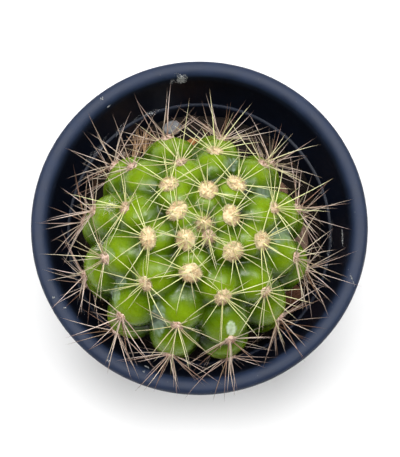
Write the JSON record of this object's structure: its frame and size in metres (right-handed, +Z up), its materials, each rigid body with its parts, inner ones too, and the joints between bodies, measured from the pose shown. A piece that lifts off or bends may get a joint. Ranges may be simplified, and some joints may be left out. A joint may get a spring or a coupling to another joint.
{
  "type": "potted round cactus",
  "caption": "Round green cactus with woolly areoles and long spines, rooted in dark soil in a small round plastic nursery pot with a rounded rim.",
  "frame": {"origin": "centre of the underside of the pot, in the plane the pot stands on", "axes": "+Z up, out of the pot's mouth; -Y towards the side of the pot that is nearest to the viewer of the picture; +X to the viewer's right"},
  "size_m": [0.09, 0.0913, 0.1099],
  "materials": {
    "pot_plastic": "satin",
    "soil": "matte",
    "plant": "satin",
    "husk": "matte",
    "stone": "matte"
  },
  "bodies": {
    "root": {"pot": "pot_plastic", "soil": "soil", "cactus": "plant", "husk_chip_1": "husk", "husk_chip_2": "husk", "husk_chip_3": "husk", "husk_chip_4": "husk", "stone_1": "stone"}
  },
  "joints": []
}
